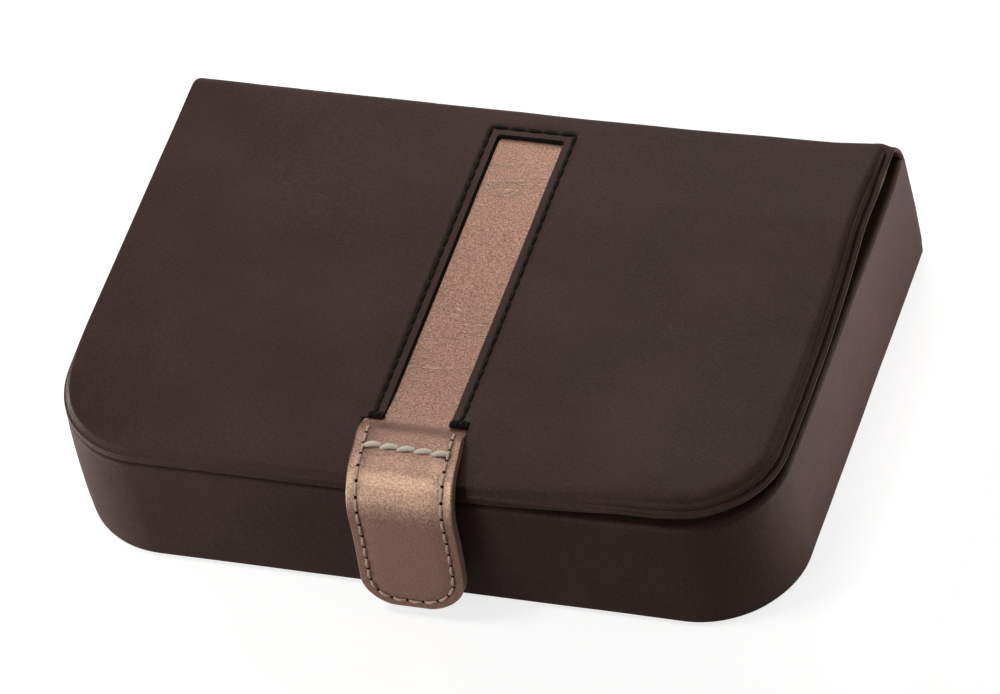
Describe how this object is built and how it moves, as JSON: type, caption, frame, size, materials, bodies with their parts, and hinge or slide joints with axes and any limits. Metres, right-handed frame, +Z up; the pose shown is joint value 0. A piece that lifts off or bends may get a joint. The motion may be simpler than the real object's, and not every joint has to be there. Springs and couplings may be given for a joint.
{
  "type": "leather jewellery case",
  "caption": "Flat leather-covered jewellery case with round front corners, a padded hinged lid, a metallic leather strap let into the lid and a magnetic tab.",
  "frame": {"origin": "centre of the flat underside of the case", "axes": "+X along the width, +Y to the back fold, +Z up through the lid"},
  "size_m": [0.17, 0.1224, 0.0408],
  "materials": {
    "dark_leather": "smooth fine-grained, satin",
    "metallic_leather": "foiled, rose bronze sheen",
    "tan_leather": "burnished edge, matte",
    "suede": "short nap, matte",
    "greyboard": "raw board",
    "foam": "thin sheet foam",
    "mirror": "silvered glass",
    "steel": "nickel plated, satin",
    "magnet": "plated magnet"
  },
  "bodies": {
    "case": {"bottom_cover": "dark_leather", "bottom_board": "greyboard", "wall_board": "greyboard", "back_board": "greyboard", "wall_foam": "foam", "wall_cover": "dark_leather", "back_cover": "dark_leather", "wall_lining": "suede", "back_lining": "suede", "floor_lining": "suede", "tray_divider_board": "greyboard", "tray_divider_cover": "suede", "ring_divider_board": "greyboard", "ring_divider_cover": "suede", "cell_divider_board": "greyboard", "cell_divider_cover": "suede", "ring_roll_1": "suede", "ring_roll_2": "suede", "ring_roll_3": "suede", "ring_roll_4": "suede", "ring_roll_5": "suede", "striker_plate": "steel", "striker_washer": "steel", "fold_leather": "dark_leather", "fold_lining": "suede"},
    "lid": {"lid_board": "greyboard", "lid_foam": "foam", "lid_cover": "dark_leather", "lid_lining": "suede", "mirror_glass": "mirror", "mirror_backing": "foam", "mirror_frame": "dark_leather", "strap_leather": "metallic_leather", "strap_core": "tan_leather", "strap_lining": "tan_leather", "strap_bend": "metallic_leather"},
    "tab": {"tab_leather": "metallic_leather", "tab_core": "tan_leather", "tab_lining": "tan_leather", "magnet_cup": "steel", "magnet_disc": "magnet", "magnet_washer": "steel"}
  },
  "joints": [
    {"name": "lid_fold", "type": "hinge", "parent": "case", "child": "lid", "pos_m": [0, 0.05622, 0.03452], "axis": [-1, 0, 0], "range_deg": [0, 180], "deforming": ["fold_leather", "fold_lining"]},
    {"name": "tab_bend", "type": "hinge", "parent": "lid", "child": "tab", "pos_m": [0, -0.06093, 0.0385], "axis": [-1, 0, 0], "range_deg": [0, 90], "deforming": ["strap_bend"]}
  ]
}
